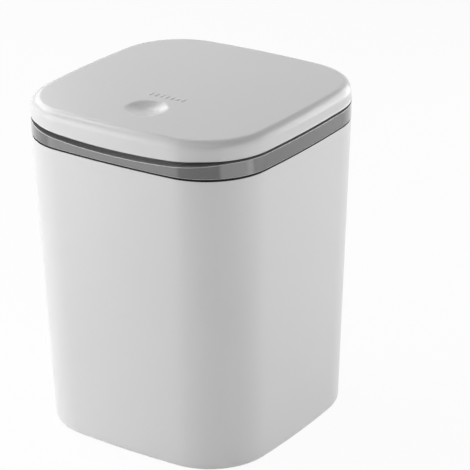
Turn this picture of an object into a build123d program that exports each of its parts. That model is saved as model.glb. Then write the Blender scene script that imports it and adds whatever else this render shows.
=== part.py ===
# Push-top countertop bin: a tapered bucket, a collar ring that carries the hinge and a
# push-to-open latch, and a lid that is pressed at its dish to pop up and swing open.
# Millimetres, +Z up, origin at the centre of the base. The front is -Y, the hinge is at +Y.
import os
from math import atan2, degrees, radians, sin, sqrt

from build123d import *

# ---- driving dimensions ------------------------------------------------------------------
width = 135.0  # square ring and lid, side to side
height = 175.0  # base to the top of the lid
ring_corner = 35.2  # corner radius of the ring and the lid
side_bulge = 0.9  # how far the middle of each side stands out
lid_side = 9.9  # lid's lower edge at the sides to its top
lid_gap = 1.2  # ring to lid at the sides
ring_height = 8.7  # bucket's rim to the ring's top edge at the sides

rim_overhang = 0.7  # ring beyond the bucket's rim
rim_corner_step = 2.0  # rim's corner radius under the ring's
base_inset = 4.0  # base inside the rim, which is the bucket's draft
base_corner_step = 0.3  # base's corner radius over the rim's
bucket_wall = 2.2
floor_thickness = 2.6
base_fillet = 3.0
foot_recess = 1.2  # hollow under the floor, which leaves a rim to stand on
foot_margin = 9.0

scoop_depth = 3.7  # finger scoop in the ring's front and back edges
scoop_margin = 8.5  # scoop's end to the ring's side
band_wall = 2.3
shadow_gap = 1.2  # dark groove between the bucket and the ring
shadow_depth = 1.5
land_thickness = 2.0
land_width = 4.2  # ring's outer edge to the upstand
upstand_rise = 2.4  # over the ring's top edge, inside the lid
inner_wall = 1.8
skirt_clearance = 0.45  # ring skirt inside the bucket's rim
skirt_depth = 8.5

lid_dip = 2.0  # lid's lower edge hangs this much lower at the middle of the front
dip_margin = 19.5  # dip's end to the lid's side
lid_draft = 0.6
lid_wall = 2.0
lid_crown = 0.6
lid_fillet = 4.8
ceiling_thickness = 2.6
dish_radius = 10.5
dish_depth = 1.9
dish_setback = 29.5  # dish's centre behind the front

knuckle_radius = 2.2
pin_radius = 1.0
running_fit = 0.05  # radial, on every pin that turns
swing_clearance = 0.28  # lid skirt to the ring's knuckles
end_play = 0.3  # between neighbouring knuckles
hinge_rise = 1.1  # hinge axis above the lid's lower edge
bay_margin = 1.7  # hinge bay's end to the lid's back edge when it is swung down
hinge_span = 58.0  # over the outer knuckles
outer_knuckle = 5.5
lid_knuckle = 9.5
inner_knuckle = 4.0

latch_setback = 15.5  # latch's centre behind the front
latch_width = 18.0
latch_depth = 12.4
latch_wall = 1.8
latch_height = 28.0
slider_clearance = 0.2
shelf_thickness = 2.5
liner_thickness = 1.4
liner_clearance = 1.2
screw_radius = 1.25
pilot_radius = 1.0
head_radius = 2.2

# ---- what follows from them -------------------------------------------------------------
half = width / 2
ceiling_z = height - ceiling_thickness
lid_low_z = height - lid_side
ring_top_z = lid_low_z - lid_gap
seam_z = ring_top_z - ring_height  # bucket's rim, where the ring sits
upstand_z = ring_top_z + upstand_rise
lid_dip_z = lid_low_z - lid_dip
scoop_z = ring_top_z - scoop_depth
rim_half = half - rim_overhang
rim_corner = ring_corner - rim_corner_step
base_corner = rim_corner + base_corner_step
scoop_half_width = half - scoop_margin
dip_half_width = half - dip_margin
dish_y = dish_setback - half
latch_y = latch_setback - half
hinge_z = lid_low_z + hinge_rise


def side_radius(size, corner):
    """Radius of the long side arc that stands out by side_bulge over the straight stretch."""
    reach = size - corner
    return (reach**2 + side_bulge**2) / (2 * side_bulge)


# the skirt's inner face at the outer knuckles falls back with its bow and its lean
bow_at_knuckles = (hinge_span / 2) ** 2 / (2 * side_radius(half, ring_corner))
lean_at_hinge = lid_draft * (hinge_z - lid_dip_z) / (height - lid_dip_z)
skirt_back_y = half - lid_wall - bow_at_knuckles - lean_at_hinge
hinge_y = skirt_back_y - swing_clearance - knuckle_radius
# the open lid's back edge comes down to this line, which the upstand has to leave free
swung_y = hinge_y - hinge_rise - half + ring_corner
upstand_reach = sqrt((ring_corner - land_width) ** 2 - swung_y**2)
bay_half_width = round(half - ring_corner + upstand_reach + bay_margin, 1)


def outline(size, corner, inset=0.0):
    """A rounded square with softly bowed sides, drawn as eight tangent arcs and filled."""
    long_radius = side_radius(size, corner) - inset
    size -= inset
    corner -= inset
    start = size - long_radius  # centre of the side arc, on the axis
    centre = (start + sqrt(2 * (long_radius - corner) ** 2 - start**2)) / 2
    scale = long_radius / (long_radius - corner)
    tangent = (start + (centre - start) * scale, centre * scale)
    tip = centre + corner / sqrt(2)
    with BuildLine() as loop:
        for quarter in range(4):
            turn = 90 * quarter
            low = Vector(tangent[0], -tangent[1]).rotate(Axis.Z, turn)
            middle = Vector(size, 0).rotate(Axis.Z, turn)
            high = Vector(*tangent).rotate(Axis.Z, turn)
            corner_tip = Vector(tip, tip).rotate(Axis.Z, turn)
            following = Vector(tangent[1], tangent[0]).rotate(Axis.Z, turn)
            ThreePointArc(low, middle, high)
            ThreePointArc(high, corner_tip, following)
    make_face(loop.edges())


def ring_outline(inset=0.0, mode=Mode.ADD):
    """The ring's and lid's outline, inset, added to or cut from the current sketch."""
    with BuildSketch(mode=Mode.PRIVATE) as shape:
        outline(half, ring_corner, inset)
    add(shape.sketch, mode=mode)


def scoop_profile(drop=0.0):
    """What the finger scoop takes off the ring, seen from the front."""
    with BuildLine() as loop:
        ThreePointArc(
            (-scoop_half_width, ring_top_z - drop),
            (0, scoop_z - drop),
            (scoop_half_width, ring_top_z - drop),
        )
        Polyline(
            (scoop_half_width, ring_top_z - drop),
            (scoop_half_width, upstand_z + 5),
            (-scoop_half_width, upstand_z + 5),
            (-scoop_half_width, ring_top_z - drop),
        )
    make_face(loop.edges())


# ---- bucket -----------------------------------------------------------------------------
snap_z = seam_z - 5.5
snap_length = 24.0
snap_height = 0.4

with BuildPart() as bucket:
    with BuildSketch():
        outline(rim_half - base_inset, base_corner)
    with BuildSketch(Plane.XY.offset(seam_z)):
        outline(rim_half, rim_corner)
    loft(ruled=True)
    fillet(bucket.edges().group_by(Axis.Z)[0], base_fillet)
    with BuildSketch(Plane.XY.offset(floor_thickness)):
        outline(rim_half - base_inset, base_corner, bucket_wall)
    with BuildSketch(Plane.XY.offset(seam_z)):
        outline(rim_half, rim_corner, bucket_wall)
    loft(ruled=True, mode=Mode.SUBTRACT)
    with BuildSketch():
        outline(rim_half - base_inset, base_corner, foot_margin)
    extrude(amount=foot_recess, mode=Mode.SUBTRACT)
    # grooves that the ring's snap beads click into, one on each side
    with BuildSketch(Plane.XY.offset(snap_z - 1.0)):
        with PolarLocations(rim_half - bucket_wall, 4):
            Rectangle(1.0, snap_length + 2)
    extrude(amount=2.0, mode=Mode.SUBTRACT)
bucket.part.label = "bucket"


# ---- collar ring ------------------------------------------------------------------------
skirt_inset = rim_overhang + bucket_wall + skirt_clearance
upstand_inset = land_width
mouth_inset = land_width + inner_wall
land_low_z = scoop_z - land_thickness
bay_floor_z = scoop_z - 0.4
bay_back_y = hinge_y - knuckle_radius - 1.35
bay_wall = 1.8
web_front_y = hinge_y - knuckle_radius + 0.6
shelf_z = ring_top_z - 0.4
shelf_low_z = shelf_z - shelf_thickness
shelf_half = 20.5
mouth_half = 10.5
latch_screw_x = 16.0
latch_boss_top = upstand_z - 0.3
outer_knuckle_x = hinge_span / 2 - outer_knuckle / 2
lid_knuckle_x = outer_knuckle_x - outer_knuckle / 2 - end_play - lid_knuckle / 2
inner_knuckle_x = lid_knuckle_x - lid_knuckle / 2 - end_play - inner_knuckle / 2

with BuildPart() as collar_ring:
    # outer band and land
    with BuildSketch(Plane.XY.offset(seam_z + shadow_gap)):
        ring_outline()
        ring_outline(upstand_inset, Mode.SUBTRACT)
    extrude(amount=ring_top_z - seam_z - shadow_gap)
    # foot of the band, which stands on the bucket's rim and leaves the shadow groove outside
    with BuildSketch(Plane.XY.offset(seam_z)):
        ring_outline(shadow_depth)
        ring_outline(band_wall, Mode.SUBTRACT)
    extrude(amount=shadow_gap)
    with BuildSketch(Plane.XZ):
        scoop_profile()
    extrude(amount=half + 1, both=True, mode=Mode.SUBTRACT)
    # open channel between the band and the skirt, under the land
    with BuildPart(mode=Mode.PRIVATE) as channel:
        with BuildSketch(Plane.XY.offset(seam_z)):
            ring_outline(band_wall)
            ring_outline(skirt_inset, Mode.SUBTRACT)
        extrude(amount=ring_top_z - land_thickness - seam_z)
        with BuildSketch(Plane.XZ):
            scoop_profile(land_thickness)
        extrude(amount=half + 1, both=True, mode=Mode.SUBTRACT)
    add(channel.part, mode=Mode.SUBTRACT)
    # skirt that plugs into the bucket, and the upstand inside the lid
    with BuildSketch(Plane.XY.offset(seam_z - skirt_depth)):
        ring_outline(skirt_inset)
        ring_outline(mouth_inset, Mode.SUBTRACT)
    extrude(amount=skirt_depth + land_low_z - seam_z + 1)
    with BuildSketch(Plane.XY.offset(land_low_z)):
        ring_outline(upstand_inset)
        ring_outline(mouth_inset, Mode.SUBTRACT)
    extrude(amount=upstand_z - land_low_z)
    # snap beads
    with BuildSketch(Plane.XY.offset(snap_z - 0.6)):
        with PolarLocations(half - skirt_inset - side_bulge / 4, 4):
            Rectangle(2 * snap_height, snap_length)
    extrude(amount=1.2)
    # hinge bay: the upstand steps inward round the knuckles
    with Locations((0, (bay_back_y + half) / 2 - 2.1, bay_floor_z)):
        Box(
            2 * bay_half_width,
            half - bay_back_y - 4.2,
            20,
            align=(Align.CENTER, Align.CENTER, Align.MIN),
            mode=Mode.SUBTRACT,
        )
    with BuildSketch(Plane.XY.offset(land_low_z)):
        with Locations((0, bay_back_y - bay_wall)):
            Rectangle(
                2 * (bay_half_width + bay_wall),
                half - land_width - bay_back_y + bay_wall,
                align=(Align.CENTER, Align.MIN),
            )
        ring_outline(land_width / 4, Mode.INTERSECT)
    extrude(amount=bay_floor_z - land_low_z)
    with BuildSketch(Plane.XY.offset(land_low_z)):
        with Locations((0, bay_back_y)):
            Rectangle(2 * (bay_half_width + bay_wall), bay_wall, align=(Align.CENTER, Align.MAX))
    extrude(amount=upstand_z - land_low_z)
    # knuckles on their webs
    for side in (-1, 1):
        for place, length in ((outer_knuckle_x, outer_knuckle), (inner_knuckle_x, inner_knuckle)):
            with Locations((side * place, hinge_y, hinge_z)):
                Cylinder(knuckle_radius, length, rotation=(0, 90, 0))
            with Locations((side * place, bay_back_y - 0.5, bay_floor_z - 0.5)):
                Box(
                    length,
                    web_front_y - bay_back_y + 0.5,
                    hinge_z + 1.0 - bay_floor_z + 0.5,
                    align=(Align.CENTER, Align.MIN, Align.MIN),
                )
    with Locations((0, hinge_y, hinge_z)):
        Cylinder(
            pin_radius + running_fit,
            2 * (bay_half_width + bay_wall) + 4,
            rotation=(0, 90, 0),
            mode=Mode.SUBTRACT,
        )
    # shelf over the latch, with the mouth for the striker and two screw bosses
    with BuildSketch(Plane.XY.offset(shelf_low_z)):
        with Locations((0, latch_y + latch_depth / 2 + 1.3)):
            Rectangle(
                2 * shelf_half,
                half - mouth_inset + latch_y + latch_depth / 2 + 2.0,
                align=(Align.CENTER, Align.MAX),
            )
    extrude(amount=shelf_thickness)
    with BuildSketch(Plane.XY.offset(shelf_low_z)):
        with GridLocations(2 * latch_screw_x, 1, 2, 1):
            with Locations((0, latch_y)):
                Circle(3.0)
    extrude(amount=latch_boss_top - shelf_low_z)
    with BuildSketch(Plane.XY.offset(shelf_low_z)):
        with Locations((0, latch_y)):
            Rectangle(2 * mouth_half, latch_depth - 2 * latch_wall - 0.4)
    extrude(amount=shelf_thickness, mode=Mode.SUBTRACT)
    with BuildSketch(Plane.XY.offset(shelf_low_z)):
        with GridLocations(2 * latch_screw_x, 1, 2, 1):
            with Locations((0, latch_y)):
                Circle(pilot_radius)
    extrude(amount=latch_boss_top - shelf_low_z - 0.6, mode=Mode.SUBTRACT)
collar_ring.part.label = "collar_ring"


# ---- lid shell --------------------------------------------------------------------------
crown_radius = (half**2 + lid_crown**2) / (2 * lid_crown)
dish_ball = (dish_radius**2 + dish_depth**2) / (2 * dish_depth)
dish_top_z = height - dish_y**2 / (2 * crown_radius)
liner_z = upstand_z + liner_clearance + 0.3
liner_top_z = liner_z + liner_thickness
liner_inset = lid_wall + lid_draft + 0.3
boss_radius = 2.9
boss_x = half - 23.5
boss_y = half - 27.5
striker_screw_x = 8.5
striker_width = 24.0
striker_depth = 8.0
striker_plate = 2.0
lid_web = (hinge_y - 1.85, hinge_y + 2.05)

with BuildPart() as lid_shell:
    with BuildSketch(Plane.XY.offset(lid_dip_z)):
        ring_outline()
    with BuildSketch(Plane.XY.offset(height)):
        ring_outline(lid_draft)
    loft(ruled=True)
    with Locations((0, 0, height - crown_radius)):
        Sphere(crown_radius, rotation=(90, 0, 0), mode=Mode.INTERSECT)
    fillet(lid_shell.faces().sort_by(Axis.Z)[-1].edges(), lid_fillet)
    with BuildSketch(Plane.XY.offset(lid_dip_z)):
        ring_outline(lid_wall)
    with BuildSketch(Plane.XY.offset(ceiling_z)):
        ring_outline(lid_wall + lid_draft)
    loft(ruled=True, mode=Mode.SUBTRACT)
    # lower edge: level, with a shallow dip across the front
    with BuildSketch(Plane.XZ) as front_edge:
        with BuildLine() as loop:
            ThreePointArc((-dip_half_width, lid_low_z), (0, lid_dip_z), (dip_half_width, lid_low_z))
            Polyline(
                (dip_half_width, lid_low_z),
                (half + 1, lid_low_z),
                (half + 1, lid_dip_z - 1),
                (-half - 1, lid_dip_z - 1),
                (-half - 1, lid_low_z),
                (-dip_half_width, lid_low_z),
            )
        make_face()
    extrude(amount=half + 1, mode=Mode.SUBTRACT)
    with Locations((0, 0, lid_low_z)):
        Box(
            width + 2,
            half + 1,
            lid_dip + 1,
            align=(Align.CENTER, Align.MIN, Align.MAX),
            mode=Mode.SUBTRACT,
        )
    # press dish with its backing
    with BuildSketch(Plane.XY.offset(ceiling_z)):
        with Locations((0, dish_y)):
            Circle(dish_radius + 2.5)
    extrude(amount=-dish_depth)
    with Locations((0, dish_y, dish_top_z - dish_depth + dish_ball)):
        Sphere(dish_ball, rotation=(90, 0, 0), mode=Mode.SUBTRACT)
    # screw bosses for the liner and the striker
    with BuildSketch(Plane.XY.offset(liner_top_z)):
        with GridLocations(2 * boss_x, 2 * boss_y, 2, 2):
            Circle(boss_radius)
        with Locations((-striker_screw_x, latch_y), (striker_screw_x, latch_y)):
            Circle(boss_radius)
    extrude(until=Until.NEXT)
    with BuildSketch(Plane.XY.offset(liner_top_z)):
        with GridLocations(2 * boss_x, 2 * boss_y, 2, 2):
            Circle(pilot_radius)
        with Locations((-striker_screw_x, latch_y), (striker_screw_x, latch_y)):
            Circle(pilot_radius)
    extrude(amount=ceiling_z - liner_top_z + 1.0, mode=Mode.SUBTRACT)
    # hinge knuckles on webs from the ceiling
    for side in (-1, 1):
        with Locations((side * lid_knuckle_x, hinge_y, hinge_z)):
            Cylinder(knuckle_radius, lid_knuckle, rotation=(0, 90, 0))
        with Locations((side * lid_knuckle_x, lid_web[0], hinge_z)):
            Box(
                lid_knuckle,
                lid_web[1] - lid_web[0],
                ceiling_z + 0.5 - hinge_z,
                align=(Align.CENTER, Align.MIN, Align.MIN),
            )
    with Locations((0, hinge_y, hinge_z)):
        Cylinder(
            pin_radius + running_fit,
            2 * (lid_knuckle_x + lid_knuckle),
            rotation=(0, 90, 0),
            mode=Mode.SUBTRACT,
        )
lid_shell.part.label = "lid_shell"


# ---- lid liner --------------------------------------------------------------------------
liner_rim = 1.8
liner_bay_y = bay_back_y - 0.3

with BuildPart() as lid_liner:
    with BuildSketch(Plane.XY.offset(liner_z)):
        ring_outline(liner_inset)
    extrude(amount=liner_thickness)
    with BuildSketch(Plane.XY.offset(liner_top_z)):
        ring_outline(liner_inset)
        ring_outline(liner_inset + liner_thickness, Mode.SUBTRACT)
    extrude(amount=liner_rim)
    with BuildSketch(Plane.XY.offset(liner_z)):
        with Locations((0, liner_bay_y)):
            Rectangle(2 * bay_half_width + 2, half, align=(Align.CENTER, Align.MIN))
    extrude(amount=liner_thickness + liner_rim, mode=Mode.SUBTRACT)
    with BuildSketch(Plane.XY.offset(liner_z)):
        with GridLocations(2 * boss_x, 2 * boss_y, 2, 2):
            Circle(screw_radius + 0.1)
        with Locations((-striker_screw_x, latch_y), (striker_screw_x, latch_y)):
            Circle(screw_radius + 0.1)
    extrude(amount=liner_thickness, mode=Mode.SUBTRACT)
lid_liner.part.label = "lid_liner"


# ---- latch ------------------------------------------------------------------------------
latch_top_z = shelf_low_z
latch_low_z = latch_top_z - latch_height
cap_thickness = 1.5
cavity_width = latch_width - 2 * latch_wall
cavity_depth = latch_depth - 2 * latch_wall
ear_height = 3.5
mouth_height = 7.5
slider_width = cavity_width - 2 * slider_clearance
slider_depth = cavity_depth - 2 * slider_clearance
slider_low_z = latch_low_z + 5.0
slider_top_z = slider_low_z + 12.0
pivot_x = 4.6
pivot_z = slider_top_z - 1.5
jaw_length = 10.6
jaw_stem = 2.0
jaw_depth = 4.0
jaw_eye = 1.6
jaw_pin_radius = 0.75
jaw_pin_length = 7.0
hook_thickness = 1.4
hook_tip_x = 2.0
head_gap = 0.4
head_half = 3.0
head_thickness = 2.0
neck_half = 1.0
neck_depth = 5.0
head_top_z = pivot_z + jaw_length - hook_thickness - head_gap
head_low_z = head_top_z - head_thickness
post_half = 2.0
post_gap = 0.3
spring_radius = 1.6
spring_wire = 0.22
spring_bore = 2.3
spring_pocket = 7.5
wire_radius = 0.4
track_depth = 1.3
track_half = 2.5
heart_z = slider_low_z + 5.2
heart_radius = 1.1
slot_depth = 1.0
wire_y = latch_y + cavity_depth / 2 + slot_depth / 2 - 0.05
wire_low_z = latch_low_z + wire_radius + 0.05
wire_tip_z = heart_z + heart_radius + wire_radius + 0.15
wire_tip_y = wire_y - 1.75


def block(size_x, size_y, low_z, high_z, mode=Mode.ADD, x=0.0):
    """A box centred on the latch in plan, from low_z to high_z."""
    with Locations((x, latch_y, low_z)):
        Box(
            size_x,
            size_y,
            high_z - low_z,
            align=(Align.CENTER, Align.CENTER, Align.MIN),
            mode=mode,
        )


with BuildPart() as latch_housing:
    block(latch_width, latch_depth, latch_low_z, latch_top_z)
    block(2 * mouth_half + 2 * latch_wall, latch_depth, latch_top_z - mouth_height, latch_top_z)
    block(2 * shelf_half - 1, latch_depth, latch_top_z - ear_height, latch_top_z)
    block(cavity_width, cavity_depth, latch_low_z, latch_top_z, Mode.SUBTRACT)
    block(
        2 * mouth_half, cavity_depth, latch_top_z - mouth_height + 2, latch_top_z, Mode.SUBTRACT
    )
    # slot for the cam wire in the wall towards the bucket
    with Locations((0, latch_y + cavity_depth / 2, latch_low_z)):
        Box(
            2.4,
            slot_depth,
            wire_tip_z + 6 - latch_low_z,
            align=(Align.CENTER, Align.MIN, Align.MIN),
            mode=Mode.SUBTRACT,
        )
    with Locations((-latch_screw_x, latch_y, latch_top_z), (latch_screw_x, latch_y, latch_top_z)):
        Hole(screw_radius + 0.1, depth=ear_height)
latch_housing.part.label = "latch_housing"

with BuildPart() as latch_cap:
    block(latch_width, latch_depth, latch_low_z - cap_thickness, latch_low_z)
    block(cavity_width - 0.3, 2 * spring_bore, latch_low_z, latch_low_z + 1.0)
    with Locations((0, latch_y, latch_low_z)):
        Cylinder(
            spring_radius - spring_wire - 0.15,
            3.0,
            align=(Align.CENTER, Align.CENTER, Align.MIN),
        )
latch_cap.part.label = "latch_cap"

with BuildPart() as latch_slider:
    block(slider_width, slider_depth, slider_low_z, slider_top_z)
    block(2 * post_half, jaw_depth, slider_top_z, head_low_z - post_gap)
    for side in (-1, 1):
        slot_x = side * (post_half + 0.4)
        with Locations((slot_x, latch_y, pivot_z - jaw_eye - 0.3)):
            Box(
                slider_width,
                jaw_depth + 0.3,
                20,
                align=(Align.MIN if side > 0 else Align.MAX, Align.CENTER, Align.MIN),
                mode=Mode.SUBTRACT,
            )
        with Locations((side * pivot_x, latch_y, pivot_z)):
            Cylinder(jaw_pin_radius, jaw_pin_length, rotation=(90, 0, 0), mode=Mode.SUBTRACT)
    with Locations((0, latch_y, slider_low_z)):
        Cylinder(
            spring_bore,
            spring_pocket,
            align=(Align.CENTER, Align.CENTER, Align.MIN),
            mode=Mode.SUBTRACT,
        )
    # cam track with its heart, on the face towards the wire
    with Locations((0, latch_y + slider_depth / 2, slider_low_z)):
        Box(
            2 * track_half,
            track_depth,
            heart_z + 3.5 - slider_low_z,
            align=(Align.CENTER, Align.MAX, Align.MIN),
            mode=Mode.SUBTRACT,
        )
    with BuildSketch(Plane.XZ.offset(-latch_y - slider_depth / 2)):
        with Locations((-heart_radius * 0.7, heart_z), (heart_radius * 0.7, heart_z)):
            Circle(heart_radius)
        with BuildLine():
            Polyline(
                (-heart_radius * 1.6, heart_z - 0.35),
                (heart_radius * 1.6, heart_z - 0.35),
                (0, heart_z - 2.2 * heart_radius),
                close=True,
            )
        make_face()
    extrude(amount=track_depth)
latch_slider.part.label = "latch_slider"


def jaw(side):
    """One jaw of the latch: an eye, a stem and a hook over the striker's head."""
    with BuildPart() as piece:
        with BuildSketch(Plane.XZ.offset(-latch_y)):
            with BuildLine() as loop:
                Polyline(
                    (side * (pivot_x + 1.2), pivot_z),
                    (side * (pivot_x + 1.2), pivot_z + jaw_length - 1.4),
                    (side * (pivot_x + 0.2), pivot_z + jaw_length),
                    (side * (hook_tip_x + 1.0), pivot_z + jaw_length),
                    (side * hook_tip_x, pivot_z + jaw_length - 0.9),
                    (side * hook_tip_x, pivot_z + jaw_length - hook_thickness),
                    (side * (pivot_x + 1.2 - jaw_stem), pivot_z + jaw_length - hook_thickness),
                    (side * (pivot_x + 1.2 - jaw_stem), pivot_z),
                    close=True,
                )
            make_face(loop.edges())
            with Locations((side * pivot_x, pivot_z)):
                Circle(jaw_eye)
                Circle(jaw_pin_radius + running_fit, mode=Mode.SUBTRACT)
        extrude(amount=jaw_depth / 2, both=True)
    return piece.part


with BuildPart() as latch_jaw_left:
    add(jaw(-1))
latch_jaw_left.part.label = "latch_jaw_left"

with BuildPart() as latch_jaw_right:
    add(jaw(1))
latch_jaw_right.part.label = "latch_jaw_right"

with BuildPart() as jaw_pins:
    with Locations((-pivot_x, latch_y, pivot_z), (pivot_x, latch_y, pivot_z)):
        Cylinder(jaw_pin_radius, jaw_pin_length, rotation=(90, 0, 0))
jaw_pins.part.label = "jaw_pins"

latch_spring_low = latch_low_z + 1.0
latch_spring_high = slider_low_z + spring_pocket
latch_spring_turns = 6

with BuildPart() as latch_spring:
    with BuildLine() as coil:
        Helix(
            pitch=(latch_spring_high - latch_spring_low - 2 * spring_wire - 0.1)
            / latch_spring_turns,
            height=latch_spring_high - latch_spring_low - 2 * spring_wire - 0.1,
            radius=spring_radius,
            center=(0, latch_y, latch_spring_low + spring_wire + 0.05),
        )
    with BuildSketch(Plane(coil.line @ 0, z_dir=coil.line % 0)):
        Circle(spring_wire)
    sweep(path=coil.line, is_frenet=True)
latch_spring.part.label = "latch_spring"

with BuildPart() as latch_cam_wire:
    with BuildLine() as route:
        FilletPolyline(
            (0, wire_tip_y, wire_low_z),
            (0, wire_y, wire_low_z),
            (0, wire_y, wire_tip_z),
            (0, wire_tip_y, wire_tip_z),
            radius=2 * wire_radius,
        )
    with BuildSketch(Plane(route.line @ 0, z_dir=route.line % 0)):
        Circle(wire_radius)
    sweep(path=route.line)
latch_cam_wire.part.label = "latch_cam_wire"


# ---- striker ----------------------------------------------------------------------------
with BuildPart() as striker:
    block(striker_width, striker_depth, liner_z - striker_plate, liner_z)
    block(2 * neck_half, neck_depth, head_top_z, liner_z - striker_plate)
    block(2 * head_half, neck_depth, head_low_z, head_top_z)
    chamfer(
        striker.edges()
        .filter_by(Axis.Y)
        .filter_by_position(Axis.Z, head_low_z - 0.01, head_low_z + 0.01),
        0.8,
    )
    with Locations(Plane.XY.offset(liner_z - striker_plate).rotated((180, 0, 0))):
        with Locations((-striker_screw_x, -latch_y), (striker_screw_x, -latch_y)):
            CounterSinkHole(screw_radius + 0.1, head_radius + 0.1, depth=striker_plate)
striker.part.label = "striker"


# ---- screws -----------------------------------------------------------------------------
def pan_screw(length):
    """A pan-head screw pointing up from its seat at the origin."""
    with BuildPart() as piece:
        Cylinder(screw_radius, length, align=(Align.CENTER, Align.CENTER, Align.MIN))
        Cylinder(head_radius, 1.4, align=(Align.CENTER, Align.CENTER, Align.MAX))
        fillet(piece.edges().group_by(Axis.Z)[0], 0.6)
        with Locations((0, 0, -1.4)):
            Box(0.6, 2.6, 1.4, mode=Mode.SUBTRACT)
            Box(2.6, 0.6, 1.4, mode=Mode.SUBTRACT)
    return piece.part


def flat_screw(length):
    """A countersunk screw pointing up, its flat head's face at the origin."""
    with BuildPart() as piece:
        Cylinder(screw_radius, length, align=(Align.CENTER, Align.CENTER, Align.MIN))
        Cone(
            head_radius,
            screw_radius,
            head_radius - screw_radius,
            align=(Align.CENTER, Align.CENTER, Align.MIN),
        )
        with Locations((0, 0, 0)):
            Box(0.6, 2.6, 1.0, mode=Mode.SUBTRACT)
            Box(2.6, 0.6, 1.0, mode=Mode.SUBTRACT)
    return piece.part


thread_end_z = ceiling_z + 0.8

with BuildPart() as latch_screws:
    with Locations(
        (-latch_screw_x, latch_y, latch_top_z - ear_height),
        (latch_screw_x, latch_y, latch_top_z - ear_height),
    ):
        add(pan_screw(ear_height + latch_boss_top - latch_top_z - 0.9))
latch_screws.part.label = "latch_screws"

with BuildPart() as liner_screws:
    with Locations(Plane.XY.offset(liner_z)):
        with GridLocations(2 * boss_x, 2 * boss_y, 2, 2):
            add(pan_screw(thread_end_z - liner_z))
liner_screws.part.label = "liner_screws"

with BuildPart() as striker_screws:
    with Locations(
        (-striker_screw_x, latch_y, liner_z - striker_plate),
        (striker_screw_x, latch_y, liner_z - striker_plate),
    ):
        add(flat_screw(thread_end_z - liner_z + striker_plate))
striker_screws.part.label = "striker_screws"


# ---- hinge pin and lid springs ----------------------------------------------------------
with BuildPart() as hinge_pin:
    with Locations((0, hinge_y, hinge_z)):
        Cylinder(pin_radius, hinge_span - 0.6, rotation=(0, 90, 0))
    chamfer(hinge_pin.edges().filter_by(GeomType.CIRCLE), 0.25)
hinge_pin.part.label = "hinge_pin"

coil_radius = 1.75
coil_wire = 0.3
coil_pitch = 0.8
coil_start_x = 3.2
lift_slope = 10.8  # degrees that the leg under the liner points down
lift_reach = 8.0
foot_slope = 60.0  # degrees that the leg on the bay floor points down
coil_turn = 360 * 4 + 90 + lift_slope + (90 - foot_slope)  # degrees of wire round the pin


def lid_spring():
    """The right torsion spring: one leg lifts the liner, the other stands on the bay floor."""
    with BuildLine() as coil:
        Helix(
            pitch=coil_pitch,
            height=coil_pitch * coil_turn / 360,
            radius=coil_radius,
            center=(coil_start_x, hinge_y, hinge_z),
            direction=(1, 0, 0),
            lefthand=True,
        )
    axis = Axis((0, hinge_y, hinge_z), (1, 0, 0))
    first = coil.line @ 0
    phase = degrees(atan2(first.Z - hinge_z, first.Y - hinge_y))
    wound = coil.line.rotate(axis, 90 + lift_slope - phase)
    with BuildPart() as piece:
        with BuildSketch(Plane(wound @ 0, z_dir=wound % 0)):
            Circle(coil_wire)
        sweep(path=wound, is_frenet=True)
        with BuildSketch(Plane(wound @ 0, z_dir=(wound % 0) * -1)):
            Circle(coil_wire)
        extrude(amount=lift_reach)
        foot = ((wound @ 1).Z - bay_floor_z - coil_wire) / sin(radians(foot_slope))
        with BuildSketch(Plane(wound @ 1, z_dir=wound % 1)):
            Circle(coil_wire)
        extrude(amount=foot)
    return piece.part


with BuildPart() as lid_spring_right:
    add(lid_spring())
lid_spring_right.part.label = "lid_spring_right"

with BuildPart() as lid_spring_left:
    add(lid_spring().mirror(Plane.YZ))
lid_spring_left.part.label = "lid_spring_left"

os.makedirs("parts", exist_ok=True)
for item in (
    bucket,
    collar_ring,
    latch_housing,
    latch_cap,
    latch_screws,
    latch_cam_wire,
    latch_spring,
    latch_slider,
    jaw_pins,
    latch_jaw_left,
    latch_jaw_right,
    hinge_pin,
    lid_spring_left,
    lid_spring_right,
    lid_shell,
    lid_liner,
    liner_screws,
    striker,
    striker_screws,
):
    export_step(item.part, f"parts/{item.part.label}.step")
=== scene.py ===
import math

import bmesh
import bpy
from mathutils import Matrix, Vector


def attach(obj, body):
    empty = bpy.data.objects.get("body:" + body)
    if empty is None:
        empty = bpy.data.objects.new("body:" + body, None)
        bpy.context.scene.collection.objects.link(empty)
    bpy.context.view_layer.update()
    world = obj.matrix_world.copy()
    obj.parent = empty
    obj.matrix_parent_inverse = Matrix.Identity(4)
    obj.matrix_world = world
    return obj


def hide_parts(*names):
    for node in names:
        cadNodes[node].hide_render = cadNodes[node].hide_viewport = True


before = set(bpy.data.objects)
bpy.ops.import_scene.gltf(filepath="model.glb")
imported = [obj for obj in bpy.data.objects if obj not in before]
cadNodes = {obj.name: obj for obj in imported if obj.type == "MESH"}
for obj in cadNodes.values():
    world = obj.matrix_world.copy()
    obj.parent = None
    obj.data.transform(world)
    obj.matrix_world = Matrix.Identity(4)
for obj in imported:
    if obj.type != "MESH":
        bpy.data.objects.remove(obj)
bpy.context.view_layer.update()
mm = 0.001
merge = {"shell": 0.00001, "copy": 0.000002}  # metres: vertices nearer than this become one
sharp = {"shell": 50, "copy": 38}  # degrees: shading breaks where faces meet at more than this
print("stage: frame loaded,", len(cadNodes), "nodes")


def linear(hexColour):  # sRGB hex to linear RGBA
    parts = [int(hexColour[i:i + 2], 16) / 255 for i in (1, 3, 5)]
    return [p / 12.92 if p <= 0.04045 else ((p + 0.055) / 1.055) ** 2.4 for p in parts] + [1.0]


def addNode(tree, kind, settings=None, links=None):
    node = tree.nodes.new(kind)
    for key, value in (settings or {}).items():
        if isinstance(key, int) or key in node.inputs:
            node.inputs[key].default_value = value
        else:
            setattr(node, key, value)
    for key, source in (links or {}).items():
        tree.links.new(source, node.inputs[key])
    return node


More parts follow.
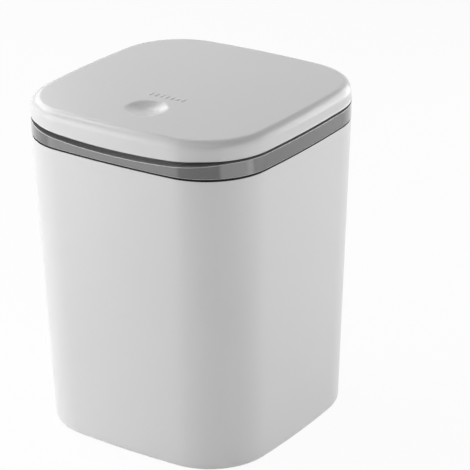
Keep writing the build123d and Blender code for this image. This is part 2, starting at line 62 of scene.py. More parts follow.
def newMaterial(name):
    material = bpy.data.materials.new(name)
    material.use_nodes = True
    material.node_tree.nodes.clear()
    return material, material.node_tree


def newPiece(name, bm, body, material, stands=()):
    mesh = bpy.data.meshes.new(name)
    bm.to_mesh(mesh)
    bm.free()
    for polygon in mesh.polygons:
        polygon.use_smooth = True
    piece = bpy.data.objects.new(name, mesh)
    bpy.context.scene.collection.objects.link(piece)
    piece.data.materials.append(material)
    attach(piece, body)
    if stands:
        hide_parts(*stands)
    return piece


def markSharp(bm, degrees):
    limit = math.radians(degrees)
    for edge in bm.edges:
        edge.smooth = edge.is_manifold and edge.calc_face_angle(0) < limit


def newOnes(made, kind):  # the vertices, edges or faces that an operator has just made
    return [item for item in made if isinstance(item, kind)]


# Injection-moulded plastic: an even colour with a few soft flow marks, and a faint ripple where
# the mould was polished, so a highlight wavers slightly instead of lying like glass. The mould's
# own grain is finer than 0.8 mm, and is drawn that coarse to show at all.
def mouldedPlastic(name, look):
    material, tree = newMaterial(name)
    place = addNode(tree, "ShaderNodeTexCoord").outputs["Object"]
    flow = addNode(tree, "ShaderNodeTexNoise",
                   {"Scale": 1000 / look["flowMm"], "Detail": 3.0}, {"Vector": place})
    shade = addNode(tree, "ShaderNodeMapRange",
                    {"To Min": 1 - look["flowShade"], "To Max": 1 + look["flowShade"]},
                    {"Value": flow.outputs["Fac"]})
    tint = addNode(tree, "ShaderNodeMix",
                   {"data_type": "RGBA", "blend_type": "MULTIPLY", "Factor": 1.0,
                    6: linear(look["colour"])}, {7: shade.outputs["Result"]})
    gloss = addNode(tree, "ShaderNodeTexNoise",
                    {"Scale": 1000 / look["glossMm"], "Detail": 4.0}, {"Vector": place})
    rough = addNode(tree, "ShaderNodeMapRange",
                    {"To Min": look["roughness"] - look["roughRange"],
                     "To Max": look["roughness"] + look["roughRange"]},
                    {"Value": gloss.outputs["Fac"]})
    ripple = addNode(tree, "ShaderNodeTexNoise",
                     {"Scale": 1000 / look["rippleMm"], "Detail": 1.0}, {"Vector": place})
    grain = addNode(tree, "ShaderNodeTexNoise",
                    {"Scale": 1000 / look["grainMm"], "Detail": 2.0}, {"Vector": place})
    wave = addNode(tree, "ShaderNodeBump",
                   {"Strength": 1.0, "Distance": look["rippleDeep"] * mm},
                   {"Height": ripple.outputs["Fac"]})
    fine = addNode(tree, "ShaderNodeBump",
                   {"Strength": 1.0, "Distance": look["grainDeep"] * mm},
                   {"Height": grain.outputs["Fac"], "Normal": wave.outputs["Normal"]})
    plastic = addNode(tree, "ShaderNodeBsdfPrincipled",
                      {"IOR": look["ior"], "Specular IOR Level": 0.5},
                      {"Base Color": tint.outputs[2], "Roughness": rough.outputs["Result"],
                       "Normal": fine.outputs["Normal"]})
    if "coat" in look:  # clear lacquer over the plastic
        plastic.inputs["Coat Weight"].default_value = look["coat"]
        plastic.inputs["Coat Roughness"].default_value = look["coatRoughness"]
    addNode(tree, "ShaderNodeOutputMaterial", links={"Surface": plastic.outputs["BSDF"]})
    return material


# Bare steel: bright, with fine lines along the way it was worked, which blur what it mirrors.
def workedSteel(name, look):
    material, tree = newMaterial(name)
    place = addNode(tree, "ShaderNodeTexCoord").outputs["Object"]
    stretch = addNode(tree, "ShaderNodeMapping", {"Scale": look["stretch"]}, {"Vector": place})
    lines = addNode(tree, "ShaderNodeTexNoise",
                    {"Scale": 1000 / look["lineMm"], "Detail": 3.0},
                    {"Vector": stretch.outputs["Vector"]})
    rough = addNode(tree, "ShaderNodeMapRange",
                    {"To Min": look["smoothest"], "To Max": look["roughest"]},
                    {"Value": lines.outputs["Fac"]})
    shade = addNode(tree, "ShaderNodeValToRGB", links={"Fac": lines.outputs["Fac"]})
    for stop, share, tone in zip(shade.color_ramp.elements, (0.3, 0.7), ("dark", "light")):
        stop.position = share
        stop.color = linear(look[tone])
    score = addNode(tree, "ShaderNodeBump", {"Strength": 0.6, "Distance": look["lineDeep"] * mm},
                    {"Height": lines.outputs["Fac"]})
    steel = addNode(tree, "ShaderNodeBsdfPrincipled", {"Metallic": 1.0},
                    {"Base Color": shade.outputs["Color"], "Roughness": rough.outputs["Result"],
                     "Normal": score.outputs["Normal"]})
    addNode(tree, "ShaderNodeOutputMaterial", links={"Surface": steel.outputs["BSDF"]})
    return material


plastics = {
    # ABS off a polished mould: even pale grey with broad soft highlights
    "mouldedBucketAbs": {"colour": "#DADADA", "roughness": 0.34, "roughRange": 0.04, "ior": 1.5,
                         "flowMm": 60, "flowShade": 0.012, "glossMm": 12, "rippleMm": 9,
                         "rippleDeep": 0.012, "grainMm": 0.8, "grainDeep": 0.002},
    # the same ABS off a brighter mould: the lid's shoulder draws a tighter highlight
    "polishedLidAbs": {"colour": "#D6D6D6", "roughness": 0.24, "roughRange": 0.03, "ior": 1.5,
                       "flowMm": 45, "flowShade": 0.012, "glossMm": 10, "rippleMm": 12,
                       "rippleDeep": 0.01, "grainMm": 0.8, "grainDeep": 0.001},
    # ABS painted grey under clear lacquer: dark, with a crisp reflection over it
    "lacqueredRingAbs": {"colour": "#585858", "roughness": 0.16, "roughRange": 0.03, "ior": 1.5,
                         "coat": 1.0, "coatRoughness": 0.1, "flowMm": 25, "flowShade": 0.02,
                         "glossMm": 8, "rippleMm": 9, "rippleDeep": 0.008, "grainMm": 0.8,
                         "grainDeep": 0.001},
    # painted light: the ring's ledge, down in the gap under the lid, is paler and duller than
    # its face
    "paintedLightLedgeAbs": {"colour": "#868686", "roughness": 0.3, "roughRange": 0.04, "ior": 1.5,
                     "flowMm": 25, "flowShade": 0.02, "glossMm": 8, "rippleMm": 9,
                     "rippleDeep": 0.008, "grainMm": 0.8, "grainDeep": 0.001},
    # painted highlight: a fine pale line along the ring's two outer rims
    "paintedHighlightRimAbs": {"colour": "#C4C4C4", "roughness": 0.3, "roughRange": 0.04, "ior": 1.5,
                        "flowMm": 25, "flowShade": 0.02, "glossMm": 8, "rippleMm": 9,
                        "rippleDeep": 0.008, "grainMm": 0.8, "grainDeep": 0.001},
    # painted shade: near-black ABS for the faces down in the joint, so the joint reads as one
    # dark line
    "paintedSeamShadeAbs": {"colour": "#1C1C1D", "roughness": 0.6, "roughRange": 0.05, "ior": 1.5,
                      "flowMm": 25, "flowShade": 0.02, "glossMm": 8, "rippleMm": 9,
                      "rippleDeep": 0.004, "grainMm": 0.8, "grainDeep": 0.004},
    # moulded polypropylene: a flat matt skin under the lid
    "mouldedLinerPolypropylene": {"colour": "#D8D8D8", "roughness": 0.5, "roughRange": 0.05,
                                  "ior": 1.5, "flowMm": 30, "flowShade": 0.02, "glossMm": 8,
                                  "rippleMm": 6, "rippleDeep": 0.01, "grainMm": 0.6,
                                  "grainDeep": 0.006},
    # moulded nylon with glass in it: dark, dull and slightly mottled
    "mouldedLatchNylon": {"colour": "#505052", "roughness": 0.45, "roughRange": 0.06, "ior": 1.5,
                          "flowMm": 12, "flowShade": 0.03, "glossMm": 5, "rippleMm": 4,
                          "rippleDeep": 0.006, "grainMm": 0.5, "grainDeep": 0.005},
    # moulded acetal: waxy off-white, as slippery as it looks
    "mouldedAcetal": {"colour": "#E2E0DA", "roughness": 0.35, "roughRange": 0.05, "ior": 1.48,
                      "flowMm": 10, "flowShade": 0.02, "glossMm": 5, "rippleMm": 4,
                      "rippleDeep": 0.005, "grainMm": 0.5, "grainDeep": 0.003},
}
steels = {
    # ground steel: bright rod, with lines across its length
    "groundPinSteel": {"dark": "#A6A6A8", "light": "#C9C9CB", "smoothest": 0.15,
                       "roughest": 0.31, "lineMm": 0.4, "lineDeep": 0.01,
                       "stretch": (1.0, 6.0, 6.0)},
    # drawn wire: a little darker, as springs are not polished after winding
    "drawnSpringSteel": {"dark": "#8E8F92", "light": "#B9BABD", "smoothest": 0.23,
                         "roughest": 0.39, "lineMm": 0.3, "lineDeep": 0.01,
                         "stretch": (1.0, 1.0, 1.0)},
    # zinc plate: pale and faintly warm, with a soft bloom
    "zincPlatedSteel": {"dark": "#AEB0B0", "light": "#D2D3D0", "smoothest": 0.25,
                        "roughest": 0.41, "lineMm": 0.5, "lineDeep": 0.01,
                        "stretch": (1.0, 1.0, 1.0)},
}
finishes = {name: mouldedPlastic(name, look) for name, look in plastics.items()}
finishes.update({name: workedSteel(name, look) for name, look in steels.items()})
print("stage: materials")

plan = {"half": 67.5, "corner": 35.2, "bulge": 0.9, "points": 240}  # rounded square, in mm


def planReach(angle, size, corner, inset=0.0):  # centre to edge along a ray, in mm
    longRadius = ((size - corner) ** 2 + plan["bulge"] ** 2) / (2 * plan["bulge"]) - inset
    size, corner = size - inset, corner - inset
    start = size - longRadius
    centre = (start + math.sqrt(2 * (longRadius - corner) ** 2 - start ** 2)) / 2
    tangentY = centre * longRadius / (longRadius - corner)
    folded = abs((angle + math.pi / 4) % (math.pi / 2) - math.pi / 4)
    ray = Vector((math.cos(folded), math.sin(folded)))
    toSide = ray.x * start + math.sqrt((ray.x * start) ** 2 - start ** 2 + longRadius ** 2)
    if toSide * ray.y <= tangentY:
        return toSide
    along = centre * (ray.x + ray.y)
    return along + math.sqrt(along ** 2 - 2 * centre ** 2 + corner ** 2)


def ringPoint(angle, reach, z, centreY=0.0):
    return Vector((reach * math.cos(angle), centreY + reach * math.sin(angle), z)) * mm


def planPoint(angle, inset, z=0.0):  # on the ring's and lid's outline, inset
    return ringPoint(angle, planReach(angle, plan["half"], plan["corner"], inset), z)


def depthIn(point, size=plan["half"], corner=plan["corner"]):  # mm in from the outline
    return planReach(math.atan2(point.y, point.x), size, corner) - math.hypot(*point.xy) / mm


def quarter(steps):  # angles of a quarter round
    return [math.pi / 2 * step / (steps + 1) for step in range(steps + 2)]


def facesOut(face):  # away from the upright axis, or level
    middle = face.calc_center_median()
    return face.normal.x * middle.x + face.normal.y * middle.y > -0.3 * math.hypot(*middle.xy)


# a circle of vertices, extruded from station to station; place gives each vertex its point
def growShell(stations, place):
    bm = bmesh.new()
    turn = bm.verts.layers.float.new("turn")
    bmesh.ops.create_circle(bm, cap_ends=False, radius=1.0, segments=plan["points"])
    for vert in bm.verts:
        vert[turn] = math.atan2(vert.co.y, vert.co.x)
    ringVerts, ringEdges = list(bm.verts), list(bm.edges)
    for vert in ringVerts:
        vert.co = place(vert[turn], stations[0])
    for station in stations[1:]:
        made = bmesh.ops.extrude_edge_only(bm, edges=ringEdges)["geom"]
        ringVerts = newOnes(made, bmesh.types.BMVert)
        fresh = set(ringVerts)
        ringEdges = [edge for edge in newOnes(made, bmesh.types.BMEdge)
                     if edge.verts[0] in fresh and edge.verts[1] in fresh]
        for vert in ringVerts:
            vert.co = place(vert[turn], station)
    bmesh.ops.remove_doubles(bm, verts=bm.verts, dist=merge["shell"])
    bmesh.ops.recalc_face_normals(bm, faces=bm.faces)
    return bm


bucket = {"baseHalf": 62.8, "baseCorner": 33.5, "rimHalf": 66.8, "rimCorner": 33.2, "top": 155.2,
          "wall": 2.2, "floor": 2.6, "baseRound": 3.0, "footDeep": 1.2, "footIn": 9.0,
          "rimRound": 0.25, "grooveIn": 1.45, "grooveDeep": 1.6, "floorRound": 3.0,
          "outsideHeights": (7, 12, 20, 32, 46, 62, 78, 94, 110, 124, 136, 145, 150, 153),
          "insideHeights": (150, 130, 100, 70, 40, 20, 9), "footMiddle": 30,
          "floorInsets": (14, 34)}


def placeBucket(angle, station):
    z, inset = station
    if inset is None:  # the pole, where the shell closes
        return Vector((0, 0, z)) * mm
    low = planReach(angle, bucket["baseHalf"], bucket["baseCorner"], inset)
    high = planReach(angle, bucket["rimHalf"], bucket["rimCorner"], inset)
    return ringPoint(angle, low + (high - low) * z / bucket["top"], z)


# stations are height and inset: foot, base round, wall, rim with its groove, inside, floor
b = bucket
stations = [(b["footDeep"], None), (b["footDeep"], b["footMiddle"]),
            (b["footDeep"], b["footIn"] + 0.4), (b["footDeep"] - 0.15, b["footIn"] + 0.08),
            (0.3, b["footIn"]), (0.08, b["footIn"] - 0.1), (0, b["footIn"] - 0.4),
            (0, b["baseRound"] + 0.2)]
stations += [(b["baseRound"] * (1 - math.cos(a)), b["baseRound"] * (1 - math.sin(a)))
             for a in quarter(9)]
stations += [(z, 0) for z in b["outsideHeights"]]
stations += [(b["top"] - b["rimRound"] * (1 - math.sin(a)), b["rimRound"] * (1 - math.cos(a)))
             for a in quarter(2)]
stations += [(b["top"], b["rimRound"] + 0.05), (b["top"] - b["grooveDeep"], b["rimRound"] + 0.1),
             (b["top"] - b["grooveDeep"], b["grooveIn"] - 0.05), (b["top"], b["grooveIn"]),
             (b["top"], b["wall"] - b["rimRound"])]
stations += [(b["top"] - b["rimRound"] * (1 - math.cos(a)),
              b["wall"] - b["rimRound"] * (1 - math.sin(a))) for a in quarter(2)[1:]]
stations += [(z, b["wall"]) for z in b["insideHeights"]]
stations += [(b["floor"] + b["floorRound"] * (1 - math.sin(a)),
              b["wall"] + b["floorRound"] * (1 - math.cos(a))) for a in quarter(5)]
stations += [(b["floor"], inset) for inset in b["floorInsets"] + (None,)]
bm = growShell(stations, placeBucket)
bm.normal_update()
# painted shade: faces down in the groove under the collar ring take the near-black seam finish
for face in bm.faces:  # the groove under the collar ring lies in the dark
    middle = face.calc_center_median()
    inGroove = depthIn(middle, b["rimHalf"], b["rimCorner"]) > b["rimRound"] and facesOut(face)
    face.material_index = int(inGroove and middle.z > (b["top"] - 2) * mm)
markSharp(bm, sharp["shell"])
bucketShell = newPiece("bucketShell", bm, "base", finishes["mouldedBucketAbs"],
                       ["bucket"])
# the second slot holds the near-black seam finish, which is painted shade
bucketShell.data.materials.append(finishes["paintedSeamShadeAbs"])
print("stage: bucket")


lid = {"low": 165.1, "dip": 2.0, "dipHalf": 48.0, "top": 175.0, "draft": 0.6, "wall": 2.0,
       "crown": 3797.2, "shoulder": 4.8, "shoulderBelow": 0.7, "ceiling": 172.4,
       "edgeRound": 0.35, "wallFoot": 0.6, "dishY": -38.0, "dishRadius": 10.5, "dishDeep": 2.0,
       "dishRound": 1.1, "dishRings": (8.4, 7.4, 6.2, 5.0, 3.8, 2.6, 1.3),
       "wallShares": (0.0, 0.25, 0.5, 0.75),
       "crownShares": (0.015, 0.04, 0.08, 0.13, 0.2, 0.28, 0.37, 0.46, 0.55, 0.64, 0.73, 0.82,
                       0.9, 0.96, 1)}
dishBall = (lid["dishRadius"] ** 2 + lid["dishDeep"] ** 2) / (2 * lid["dishDeep"])
dipRadius = (lid["dipHalf"] ** 2 + lid["dip"] ** 2) / (2 * lid["dip"])
lidFoot = lid["low"] - lid["dip"]
shoulderLow = lid["top"] - lid["shoulder"] - lid["shoulderBelow"]


def lidEdge(point):  # lower edge's height, which dips across the front
    x, y = point.xy / mm
    if y >= 0 or abs(x) >= lid["dipHalf"]:
        return lid["low"]
    return lid["low"] - (math.sqrt(dipRadius ** 2 - x ** 2) - (dipRadius - lid["dip"]))


def crownZ(x, y):
    return lid["top"] - (x * x + y * y) / (2 * lid["crown"])


def onCrown(point, drop=0.0):  # the point, moved to the crown's height less a drop
    x, y = point.xy / mm
    return Vector((x, y, crownZ(x, y) - drop)) * mm


def lidDraft(z):
    return lid["draft"] * (z - lidFoot) / (lid["top"] - lidFoot)


def dishDrop(radius):  # depth under the crown, with a rim that is rolled over
    ball = dishBall - math.sqrt(max(dishBall ** 2 - radius ** 2, 0))
    reach = (radius - lid["dishRadius"]) / lid["dishRound"]
    if reach >= 1:
        return 0.0
    if reach <= -1:
        return lid["dishDeep"] - ball
    slope = lid["dishRadius"] / dishBall
    return slope * lid["dishRound"] * (1 - reach) ** 2 / 4


def placeLid(angle, station):
    kind, first, second = station
    crownIn = lidDraft(shoulderLow) + lid["shoulder"]
    if kind == "pole":  # y, height
        return Vector((0, first, second)) * mm
    if kind == "level":  # height, inset
        return planPoint(angle, second, first)
    if kind == "edge":  # rise over the lower edge, inset
        point = planPoint(angle, second)
        point.z = (lidEdge(point) + first) * mm
        return point
    if kind == "wall":  # share of the way from the edge to the shoulder
        low = lidEdge(planPoint(angle, 0)) + lid["wallFoot"]
        z = low + (shoulderLow - low) * first
        return planPoint(angle, lidDraft(z), z)
    if kind == "shoulder":  # angle round the shoulder
        point = planPoint(angle, crownIn - lid["shoulder"] * math.cos(first))
        point.z = onCrown(planPoint(angle, crownIn)).z
        point.z -= lid["shoulder"] * (1 - math.sin(first)) * mm
        return point
    if kind == "crown":  # share of the way from the shoulder to the dish
        rim = ringPoint(angle, lid["dishRadius"] + lid["dishRound"], 0, lid["dishY"])
        return onCrown(planPoint(angle, crownIn).lerp(rim, first))
    return onCrown(ringPoint(angle, first, 0, lid["dishY"]), dishDrop(first))  # dish: radius


r, wall, ceiling = lid["edgeRound"], lid["wall"], lid["ceiling"]
stations = [("pole", 0, ceiling), ("level", ceiling, 40), ("level", ceiling, 3.3),
            ("level", ceiling - 0.4, 2.9), ("level", 168.6, 2.35), ("edge", 1.2, 2.06),
            ("edge", r, wall), ("edge", 0.1, wall - 0.1), ("edge", 0, wall - r),
            ("edge", 0, 0.9), ("edge", 0, r), ("edge", 0.05, r * 0.55),
            ("edge", r * 0.45, 0.06), ("edge", r, 0.01)]
stations += [("wall", share, 0) for share in lid["wallShares"]]
stations += [("shoulder", a, 0) for a in quarter(11)]
stations += [("crown", share, 0) for share in lid["crownShares"]]
stations += [("dish", lid["dishRadius"] + lid["dishRound"] * k / 4, 0) for k in range(3, -5, -1)]
stations += [("dish", radius, 0) for radius in lid["dishRings"]]
stations += [("pole", lid["dishY"], crownZ(0, lid["dishY"]) - lid["dishDeep"])]
bm = growShell(stations, placeLid)
markSharp(bm, sharp["shell"])
newPiece("lidShell", bm, "lid", finishes["polishedLidAbs"], ["lid_shell"])

# underside of the lid: screw bosses, the thick spot behind the dish, and two hinge knuckles
under = {"bossRadius": 2.9, "bossLow": 169.2, "backRadius": 13.0, "backLow": 170.5,
         "bosses": [(44, 40), (-44, 40), (44, -40), (-44, -40), (8.5, -52), (-8.5, -52)],
         "bossRound": 0.3, "intoCeiling": 0.02, "hingeY": 62.139, "hingeZ": 166.2,
         "knuckle": 2.2, "bore": 1.05, "webFront": 1.85, "webBack": 2.05, "knuckleAt": 18.45,
         "knuckleLong": 9.5}
bm = bmesh.new()
high = lid["ceiling"] + under["intoCeiling"]
posts = [(x, y, under["bossRadius"], under["bossLow"]) for x, y in under["bosses"]]
posts.append((0, lid["dishY"], under["backRadius"], under["backLow"]))
for x, y, radius, low in posts:
    made = bmesh.ops.create_cone(bm, cap_ends=True, segments=48, radius1=radius * mm,
                                 radius2=radius * mm, depth=(high - low) * mm)
    bmesh.ops.translate(bm, verts=made["verts"], vec=Vector((x, y, (high + low) / 2)) * mm)
lowRims = [edge for edge in bm.edges if abs(edge.calc_face_angle(0) - math.pi / 2) < 0.1
           and max(vert.co.z for vert in edge.verts) < (high - 0.5) * mm]
bmesh.ops.bevel(bm, geom=lowRims, offset=under["bossRound"] * mm, offset_type="OFFSET",
                affect="EDGES", segments=2, profile=0.5, material=-1)
for side in (-1, 1):
    made = bmesh.ops.create_circle(bm, cap_ends=False, radius=under["bore"] * mm, segments=40)
    inner = made["verts"]
    bmesh.ops.transform(bm, verts=inner, matrix=Matrix.Rotation(math.pi / 2, 4, "Y"))
    loop = list({edge for vert in inner for edge in vert.link_edges})
    grown = bmesh.ops.extrude_edge_only(bm, edges=loop)["geom"]
    outer = newOnes(grown, bmesh.types.BMVert)
    cheek = newOnes(grown, bmesh.types.BMFace)
    bmesh.ops.scale(bm, vec=Vector((1, 1, 1)) * under["knuckle"] / under["bore"], verts=outer)
    for vert in outer:
        if vert.co.z > 0.1 * mm:  # the web runs straight up to the ceiling
            vert.co.y = min(max(vert.co.y, -under["webFront"] * mm), under["webBack"] * mm)
            vert.co.z = (high - under["hingeZ"]) * mm
    raised = bmesh.ops.extrude_face_region(bm, geom=cheek)["geom"]
    far = newOnes(raised, bmesh.types.BMVert)
    bmesh.ops.translate(bm, verts=far, vec=Vector((under["knuckleLong"], 0, 0)) * mm)
    place = Vector((side * under["knuckleAt"] - under["knuckleLong"] / 2, under["hingeY"],
                    under["hingeZ"])) * mm
    bmesh.ops.translate(bm, verts=list(set(inner + outer + far)), vec=place)
bmesh.ops.remove_doubles(bm, verts=bm.verts, dist=merge["copy"])
bmesh.ops.recalc_face_normals(bm, faces=bm.faces)
markSharp(bm, sharp["shell"])
newPiece("lidUnderside", bm, "lid", finishes["polishedLidAbs"])

# a row of low raised bars behind the dish, which says where to press and spells nothing
pressMark = {"y": -20.3, "bars": 7, "pitch": 3.1, "wide": 1.0, "long": 3.7, "proud": 0.22,
             "sunk": 0.03, "round": 0.1}
bm = bmesh.new()
for k in range(pressMark["bars"]):
    made = bmesh.ops.create_circle(bm, cap_ends=True, radius=pressMark["wide"] / 2 * mm,
                                   segments=24)
    for vert in made["verts"]:
        vert.co.y += math.copysign((pressMark["long"] - pressMark["wide"]) / 2 * mm, vert.co.y)
    x = (k - (pressMark["bars"] - 1) / 2) * pressMark["pitch"]
    level = crownZ(x, pressMark["y"]) - pressMark["sunk"]
    bmesh.ops.translate(bm, verts=made["verts"], vec=Vector((x, pressMark["y"], level)) * mm)
raised = bmesh.ops.extrude_face_region(bm, geom=list(bm.faces), use_keep_orig=True)["geom"]
tops = newOnes(raised, bmesh.types.BMFace)
bmesh.ops.translate(bm, verts=newOnes(raised, bmesh.types.BMVert),
                    vec=Vector((0, 0, pressMark["proud"] + pressMark["sunk"])) * mm)
bmesh.ops.bevel(bm, geom=list({edge for face in tops for edge in face.edges}),
                offset=pressMark["round"] * mm, offset_type="OFFSET", affect="EDGES",
                segments=3, profile=0.5, material=-1)
bmesh.ops.recalc_face_normals(bm, faces=bm.faces)
markSharp(bm, sharp["shell"])
newPiece("pressBars", bm, "lid", finishes["polishedLidAbs"])
print("stage: lid")


def zoneRing(bm):  # 0 lacquered, 1 painted light on the upward ledge, 2 painted shade down in the seam
    for face in bm.faces:
        middle = face.calc_center_median()
        z, into = middle.z / mm, depthIn(middle)
        if ring["seamLow"] < z < ring["seamTop"] and into > ring["seamIn"] and facesOut(face):
            face.material_index = 2
        elif z > ring["ledgeLow"] and into < ring["ledgeIn"] and face.normal.z > 0.3:
            face.material_index = 1


def shortenSpring(bm):  # so that it clears the slider when the lid is pressed
    low = min(vert.co.z for vert in bm.verts)
    for vert in bm.verts:
        vert.co.z = low + (vert.co.z - low) * springs["latchShare"]


def isLiftLeg(face):  # the straight leg under the liner, of either lid spring
    return min(vert.co.y for vert in face.verts) < springs["legFrontOf"] * mm


def dropLiftLeg(bm):  # and lean the foot forward, out of the open lid's way
    bmesh.ops.delete(bm, geom=[face for face in bm.faces if isLiftLeg(face)], context="FACES")
    for vert in bm.verts:
        if vert.co.z < springs["footBelow"] * mm:
            vert.co.y -= springs["footLean"] * mm


def keepLiftLeg(bm):  # beside the first turn, so it passes the coil as the lid opens
    bmesh.ops.delete(bm, geom=[face for face in bm.faces if not isLiftLeg(face)],
                     context="FACES")
    for vert in bm.verts:
        vert.co.x -= math.copysign(springs["legAside"] * mm, vert.co.x)


def mergedCopy(nodeName, reshape=None):
    bm = bmesh.new()
    bm.from_mesh(cadNodes[nodeName].data)
    bmesh.ops.remove_doubles(bm, verts=bm.verts, dist=merge["copy"])
    bm.normal_update()
    if reshape:
        reshape(bm)
        bmesh.ops.holes_fill(bm, edges=[edge for edge in bm.edges if edge.is_boundary], sides=0)
    bmesh.ops.dissolve_limit(bm, angle_limit=math.radians(0.4), verts=bm.verts, edges=bm.edges,
                             delimit={"MATERIAL"})
    markSharp(bm, sharp["copy"])
    return bm


def roundEdges(piece, name, width, limit, material=-1):
    bevel = piece.modifiers.new(name, "BEVEL")
    bevel.width = width * mm
    bevel.segments = 2
    bevel.limit_method = limit
    bevel.angle_limit = math.radians(sharp["copy"])
    bevel.harden_normals = True
    bevel.material = material


def evenShading(piece):
    weighted = piece.modifiers.new("evenShading", "WEIGHTED_NORMAL")
    weighted.keep_sharp = True


# collar ring: lacquered outside, with painted light on the ledge, painted shade in the joint and
# a painted highlight on its two rims
ring = {"seamLow": 150.0, "seamTop": 156.6, "seamIn": 0.75, "ledgeLow": 159.5, "ledgeIn": 4.0,
        "rimIn": 0.05, "rimWide": 0.42, "edgeWide": 0.3}
bm = mergedCopy("collar_ring", zoneRing)
weight = bm.edges.layers.float.new("bevel_weight_edge")
for edge in bm.edges:
    if not edge.smooth and max(depthIn(vert.co) for vert in edge.verts) < ring["rimIn"]:
        edge[weight] = 1.0
collarRing = newPiece("collar_ringSoft", bm, "base",
                      finishes["lacqueredRingAbs"], ["collar_ring"])
# slot 1 is painted light, slot 2 painted shade, slot 3 a painted highlight
for name in ("paintedLightLedgeAbs", "paintedSeamShadeAbs", "paintedHighlightRimAbs"):
    collarRing.data.materials.append(finishes[name])
# the rims' bevel carries the painted highlight finish in slot 3
roundEdges(collarRing, "paintedHighlightRims", ring["rimWide"], "WEIGHT", 3)
roundEdges(collarRing, "softEdges", ring["edgeWide"], "ANGLE")
evenShading(collarRing)

# the other inner pieces: body, slot, finish, edge round in mm, change of shape, own name
springs = {"latchShare": 0.895, "legFrontOf": 55.5, "footBelow": 162.0, "footLean": 3.6,
           "legAside": 0.64}
copies = [
    ("lid_liner", "lid", "liner_plastic", "mouldedLinerPolypropylene", 0.25),
    ("latch_housing", "base", "latch_plastic", "mouldedLatchNylon", 0.25),
    ("latch_cap", "base", "latch_plastic", "mouldedLatchNylon", 0.2),
    ("latch_slider", "slider", "slider_plastic", "mouldedAcetal", 0.12),
    ("latch_jaw_left", "jaw_left", "slider_plastic", "mouldedAcetal", 0.12),
    ("latch_jaw_right", "jaw_right", "slider_plastic", "mouldedAcetal", 0.12),
    ("striker", "lid", "slider_plastic", "mouldedAcetal", 0.15),
    ("hinge_pin", "pin", "pin_steel", "groundPinSteel", 0),
    ("jaw_pins", "slider", "pin_steel", "groundPinSteel", 0),
    ("latch_spring", "base", "spring_steel", "drawnSpringSteel", 0, shortenSpring),
    ("latch_cam_wire", "base", "spring_steel", "drawnSpringSteel", 0),
    ("lid_spring_left", "base", "spring_steel", "drawnSpringSteel", 0, dropLiftLeg),
    ("lid_spring_right", "base", "spring_steel", "drawnSpringSteel", 0, dropLiftLeg),
    ("lid_spring_left", "lid", "spring_steel", "drawnSpringSteel", 0, keepLiftLeg,
     "liftLegLeft"),
    ("lid_spring_right", "lid", "spring_steel", "drawnSpringSteel", 0, keepLiftLeg,
     "liftLegRight"),
    ("latch_screws", "base", "screw_steel", "zincPlatedSteel", 0.08),
    ("liner_screws", "lid", "screw_steel", "zincPlatedSteel", 0.08),
    ("striker_screws", "lid", "screw_steel", "zincPlatedSteel", 0.08),
]


def softCopy(nodeName, body, slot, finish, edge, reshape=None, ownName=None):
    piece = newPiece(ownName or nodeName + "Soft", mergedCopy(nodeName, reshape), body,
                     finishes[finish], [] if ownName else [nodeName])
    if edge:
        roundEdges(piece, "softEdges", edge, "ANGLE")
    evenShading(piece)


for row in copies:
    softCopy(*row)
print("stage: inner pieces")


def shownRay(tree):  # 1 for what the camera sees directly, in gloss or through glass
    path = addNode(tree, "ShaderNodeLightPath")
    direct = addNode(tree, "ShaderNodeMath", {"operation": "MAXIMUM"},
                     {0: path.outputs["Is Camera Ray"], 1: path.outputs["Is Glossy Ray"]})
    return addNode(tree, "ShaderNodeMath", {"operation": "MAXIMUM"},
                   {0: direct.outputs[0], 1: path.outputs["Is Transmission Ray"]}).outputs[0]


# floor: matt white paper that keeps the shadow and glows a little, so it meets the backdrop
floorLook = {"size": 3.0, "glow": 0.93, "fibreMm": 25, "darkest": 0.84, "lightest": 0.9}
paper, tree = newMaterial("mattPaper")
place = addNode(tree, "ShaderNodeTexCoord").outputs["Object"]
fibre = addNode(tree, "ShaderNodeTexNoise", {"Scale": 1000 / floorLook["fibreMm"]},
                {"Vector": place})
tone = addNode(tree, "ShaderNodeMapRange",
               {"To Min": floorLook["darkest"], "To Max": floorLook["lightest"]},
               {"Value": fibre.outputs["Fac"]})
matt = addNode(tree, "ShaderNodeBsdfDiffuse", links={"Color": tone.outputs["Result"]})
glow = addNode(tree, "ShaderNodeEmission", {"Color": (1, 1, 1, 1), "Strength": 1.0})
share = addNode(tree, "ShaderNodeMath", {"operation": "MULTIPLY", 1: floorLook["glow"]},
                {0: shownRay(tree)})
both = addNode(tree, "ShaderNodeMixShader",
               links={0: share.outputs[0], 1: matt.outputs[0], 2: glow.outputs[0]})
addNode(tree, "ShaderNodeOutputMaterial", links={"Surface": both.outputs[0]})

bm = bmesh.new()
bmesh.ops.create_grid(bm, x_segments=4, y_segments=4, size=floorLook["size"])
floorMesh = bpy.data.meshes.new("floor")
bm.to_mesh(floorMesh)
bm.free()
floor = bpy.data.objects.new("floor", floorMesh)
bpy.context.scene.collection.objects.link(floor)
floor.data.materials.append(paper)

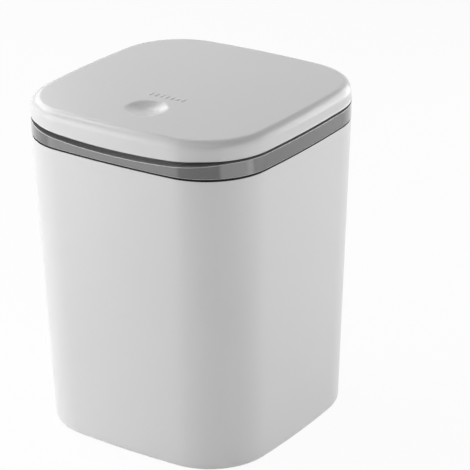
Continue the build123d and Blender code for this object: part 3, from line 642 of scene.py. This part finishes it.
# backdrop: white up to the softboxes' height, dim overhead; only the softboxes light the bin
sky = {"whiteTo": 29.0, "dimFrom": 40.0, "dim": 0.05, "fill": 0.0}
world = bpy.data.worlds.new("studio")
bpy.context.scene.world = world
world.use_nodes = True
tree = world.node_tree
tree.nodes.clear()
way = addNode(tree, "ShaderNodeTexCoord").outputs["Generated"]
height = addNode(tree, "ShaderNodeSeparateXYZ", links={"Vector": way}).outputs["Z"]
band = addNode(tree, "ShaderNodeMapRange",
               {"From Min": math.sin(math.radians(sky["whiteTo"])),
                "From Max": math.sin(math.radians(sky["dimFrom"])),
                "To Min": 1.0, "To Max": sky["dim"]}, {"Value": height})
fill = addNode(tree, "ShaderNodeBackground", {"Color": (1, 1, 1, 1), "Strength": sky["fill"]})
white = addNode(tree, "ShaderNodeBackground", {"Color": (1, 1, 1, 1)},
                {"Strength": band.outputs["Result"]})
both = addNode(tree, "ShaderNodeMixShader",
               links={0: shownRay(tree), 1: fill.outputs[0], 2: white.outputs[0]})
addNode(tree, "ShaderNodeOutputWorld", links={"Surface": both.outputs[0]})

softboxes = {  # place, what it points at, width and height in metres, brightness of its face
    "rightFront": {"at": (0.363, -0.094, 0.2), "aim": (-0.615, 0.113, 0.2),
                   "size": (0.34, 0.4), "glow": 1.11},
    "rightBack": {"at": (0.38, 0.225, 0.225), "aim": (0, 0.225, 0.225),
                  "size": (0.45, 0.45), "glow": 0.49},
    "back": {"at": (0.35, 0.75, 0.3), "aim": (0.35, 0, 0.3), "size": (0.7, 0.6), "glow": 2.96},
    "leftFront": {"at": (-0.182, -0.318, 0.2), "aim": (0.406, 0.491, 0.2),
                  "size": (0.34, 0.4), "glow": 0.97},
    "leftCorner": {"at": (-0.55, -0.55, 0.25), "aim": (0, 0, 0.12), "size": (0.5, 0.5),
                   "glow": 2.23},
    "leftFar": {"at": (-0.65, -0.21, 0.25), "aim": (0, -0.21, 0.25), "size": (0.42, 0.5),
                "glow": 0.67},
    "highLeft": {"at": (-0.778, 0, 0.878), "aim": (0, 0, 0.12), "size": (0.6, 0.6),
                 "glow": 4.05},
    "highFront": {"at": (-0.5, -0.596, 0.878), "aim": (0, 0, 0.12), "size": (0.6, 0.6),
                  "glow": 1.31},
    "highBack": {"at": (-0.825, 0.476, 0.65), "aim": (0, 0, 0.12), "size": (0.5, 0.5),
                 "glow": 2.63},
    "highRight": {"at": (0.273, -0.376, 1.097), "aim": (0, 0, 0.12), "size": (0.5, 0.5),
                  "glow": 1.37},
}
for name, box in softboxes.items():
    lamp = bpy.data.lights.new(name, "AREA")
    lamp.shape = "RECTANGLE"
    lamp.size, lamp.size_y = box["size"]
    lamp.energy = box["glow"] * math.pi * lamp.size * lamp.size_y  # watts for that brightness
    holder = bpy.data.objects.new(name, lamp)
    holder.location = box["at"]
    aim = Vector(box["aim"]) - Vector(box["at"])
    holder.rotation_euler = aim.to_track_quat("-Z", "Y").to_euler()
    holder.visible_camera = False
    bpy.context.scene.collection.objects.link(holder)

cameraLook = {"at": (0.61637, -0.85722, 0.54727), "turn": 34.619, "down": 23.198,
              "roll": -0.707, "lens": 174.55, "sensor": 36.0, "nearest": 0.05,
              "farthest": 10.0}
cameraData = bpy.data.cameras.new("camera")
cameraData.sensor_width = cameraLook["sensor"]
cameraData.lens = cameraLook["lens"]
cameraData.clip_start = cameraLook["nearest"]
cameraData.clip_end = cameraLook["farthest"]
camera = bpy.data.objects.new("camera", cameraData)
turned = (Matrix.Rotation(math.radians(cameraLook["turn"]), 4, "Z")
          @ Matrix.Rotation(math.radians(90 - cameraLook["down"]), 4, "X")
          @ Matrix.Rotation(math.radians(cameraLook["roll"]), 4, "Z"))
camera.matrix_world = Matrix.Translation(cameraLook["at"]) @ turned
bpy.context.scene.collection.objects.link(camera)
bpy.context.scene.camera = camera
bpy.context.scene.view_settings.view_transform = "Standard"
print("stage: light and camera")
